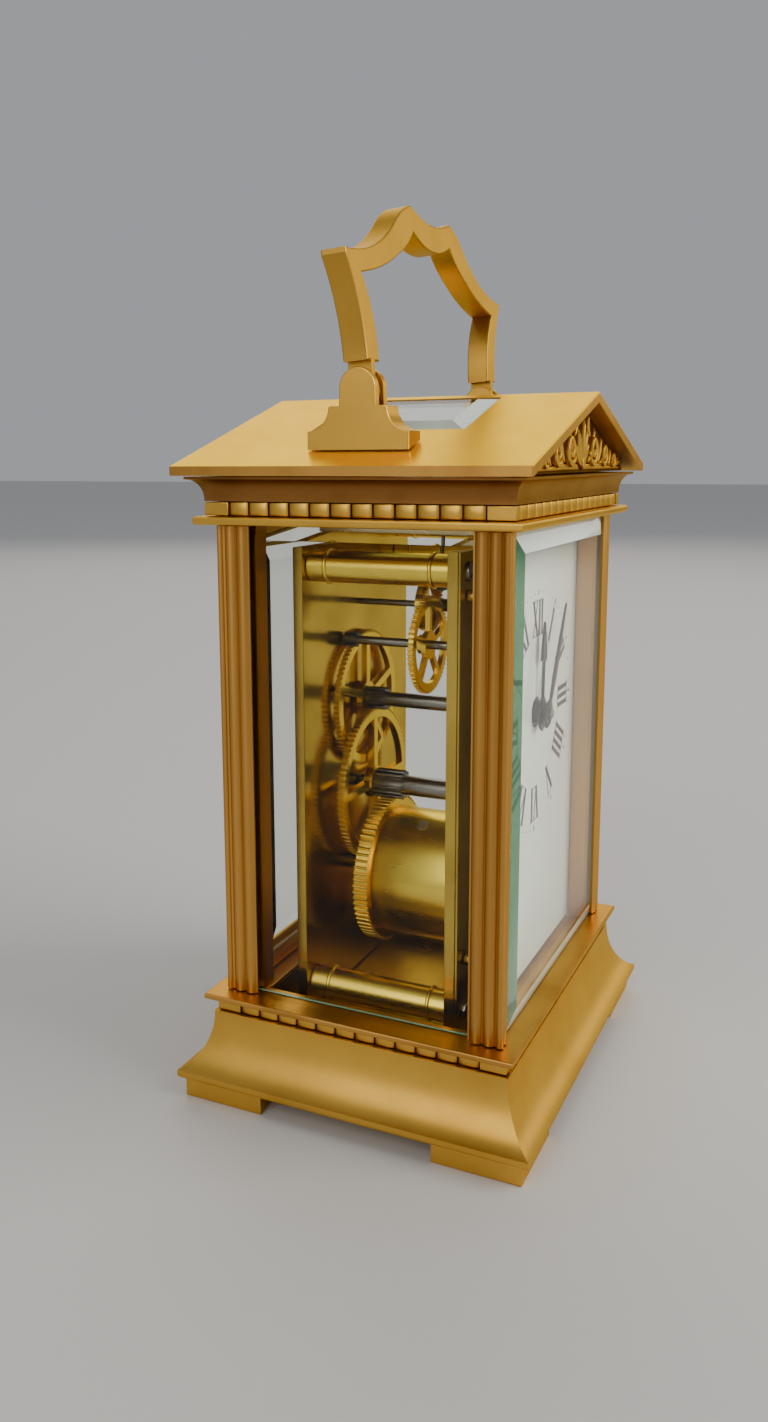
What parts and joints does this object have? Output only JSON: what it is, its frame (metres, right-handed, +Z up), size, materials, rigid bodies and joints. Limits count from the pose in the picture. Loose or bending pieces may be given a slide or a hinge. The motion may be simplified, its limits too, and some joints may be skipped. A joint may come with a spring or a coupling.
{
  "type": "carriage clock",
  "caption": "Glazed brass carriage clock with pitched roof, fluted corner columns, fold-down handle, rear door and geared movement.",
  "frame": {"origin": "middle of the resting plane under the four feet", "axes": "+Z up, -Y out of the dial, +X to the right seen from the dial side"},
  "size_m": [0.096, 0.0806, 0.1917],
  "materials": {
    "gilt": "satin gilding",
    "roof_gilt": "satin gilding, brighter",
    "column_gilt": "satin gilding, warmer",
    "polished_brass": "polished, lacquered",
    "wheel_brass": "polished",
    "steel": "polished",
    "blued_steel": "blued",
    "silvered": "silvered",
    "enamel": "white vitreous enamel",
    "glass": "clear bevelled plate"
  },
  "bodies": {
    "case": {"base_moulding": "gilt", "base_gadroon": "gilt", "plinth_plate": "gilt", "architrave": "gilt", "frieze_gadroon": "gilt", "crown_cavetto": "gilt", "gable_front": "gilt", "gable_rear": "gilt", "handle_block_left": "gilt", "handle_block_right": "gilt", "handle_pin_left": "gilt", "handle_pin_right": "gilt", "foot_front_left": "gilt", "foot_front_right": "gilt", "foot_rear_left": "gilt", "foot_rear_right": "gilt", "roof": "roof_gilt", "column_front_left": "column_gilt", "column_front_right": "column_gilt", "column_rear_left": "column_gilt", "column_rear_right": "column_gilt", "front_plate": "polished_brass", "back_plate": "polished_brass", "pillar_top_left": "polished_brass", "pillar_top_right": "polished_brass", "pillar_bottom_left": "polished_brass", "pillar_bottom_right": "polished_brass", "platform": "silvered", "balance_cock": "silvered", "dial": "enamel", "roof_glass_left": "glass", "roof_glass_right": "glass", "side_glass_left": "glass", "side_glass_right": "glass", "front_glass": "glass"},
    "handle": {"handle": "gilt"},
    "door": {"door_frame": "gilt", "door_glass": "glass", "door_knob": "gilt"},
    "centre": {"centre_arbor": "steel", "centre_wheel": "wheel_brass", "cannon_pinion": "steel", "minute_hand": "blued_steel"},
    "hour": {"hour_wheel": "wheel_brass", "hour_hand": "blued_steel"},
    "motion_idler": {"minute_wheel": "wheel_brass"},
    "barrel": {"barrel": "wheel_brass"},
    "winding": {"barrel_arbor": "steel", "ratchet_wheel": "steel"},
    "click": {"click": "steel"},
    "intermediate": {"intermediate_arbor": "steel", "intermediate_wheel": "wheel_brass"},
    "third": {"third_arbor": "steel", "third_wheel": "wheel_brass"},
    "contrate": {"contrate_arbor": "steel", "contrate_wheel": "wheel_brass"},
    "escape": {"escape_wheel": "steel"},
    "lever": {"lever": "steel"},
    "balance": {"balance_wheel": "wheel_brass"}
  },
  "joints": [
    {"name": "handle_fold", "type": "hinge", "parent": "case", "child": "handle", "pos_m": [0, 0, 0.1525], "axis": [1, 0, 0], "range_deg": [-78, 86]},
    {"name": "door_swing", "type": "hinge", "parent": "case", "child": "door", "pos_m": [0.0295, 0.0292, 0.075], "axis": [0, 0, -1], "range_deg": [0, 90]},
    {"name": "centre_turn", "type": "hinge", "parent": "case", "child": "centre", "pos_m": [0, 0, 0.08366], "axis": [0, 1, 0], "continuous": true},
    {"name": "hour_turn", "type": "hinge", "parent": "case", "child": "hour", "pos_m": [0, 0, 0.08366], "axis": [0, 1, 0], "continuous": true},
    {"name": "motion_idler_turn", "type": "hinge", "parent": "case", "child": "motion_idler", "pos_m": [-0.00708, 0, 0.0787], "axis": [0, 1, 0], "continuous": true},
    {"name": "intermediate_turn", "type": "hinge", "parent": "case", "child": "intermediate", "pos_m": [0, 0, 0.06308], "axis": [0, 1, 0], "continuous": true},
    {"name": "barrel_turn", "type": "hinge", "parent": "case", "child": "barrel", "pos_m": [0, 0, 0.0424], "axis": [0, 1, 0], "continuous": true},
    {"name": "third_turn", "type": "hinge", "parent": "case", "child": "third", "pos_m": [-0.00888, 0, 0.09886], "axis": [0, 1, 0], "continuous": true},
    {"name": "contrate_turn", "type": "hinge", "parent": "case", "child": "contrate", "pos_m": [0.00063, 0, 0.10656], "axis": [0, 1, 0], "continuous": true},
    {"name": "winding_turn", "type": "hinge", "parent": "case", "child": "winding", "pos_m": [0, 0, 0.0424], "axis": [0, 1, 0], "range_deg": [0, 1710]},
    {"name": "click_lift", "type": "hinge", "parent": "case", "child": "click", "pos_m": [-0.0106, 0.021, 0.0496], "axis": [0, -1, 0], "range_deg": [0, 20]},
    {"name": "escape_turn", "type": "hinge", "parent": "case", "child": "escape", "pos_m": [0.00063, -0.003, 0.124], "axis": [0, 0, 1], "continuous": true},
    {"name": "lever_swing", "type": "hinge", "parent": "case", "child": "lever", "pos_m": [0.0052, 0.0016, 0.124], "axis": [0, 0, 1], "range_deg": [-4, 4]},
    {"name": "balance_swing", "type": "hinge", "parent": "case", "child": "balance", "pos_m": [0.0094, 0.0088, 0.126], "axis": [0, 0, 1], "range_deg": [-140, 140]}
  ],
  "couplings": [
    {"joint": "hour_turn", "follows": "centre_turn", "ratio": 0.083333},
    {"joint": "motion_idler_turn", "follows": "centre_turn", "ratio": -0.33333},
    {"joint": "intermediate_turn", "follows": "centre_turn", "ratio": -0.13953},
    {"joint": "barrel_turn", "follows": "centre_turn", "ratio": 0.026398},
    {"joint": "third_turn", "follows": "centre_turn", "ratio": -10},
    {"joint": "contrate_turn", "follows": "centre_turn", "ratio": 75}
  ]
}
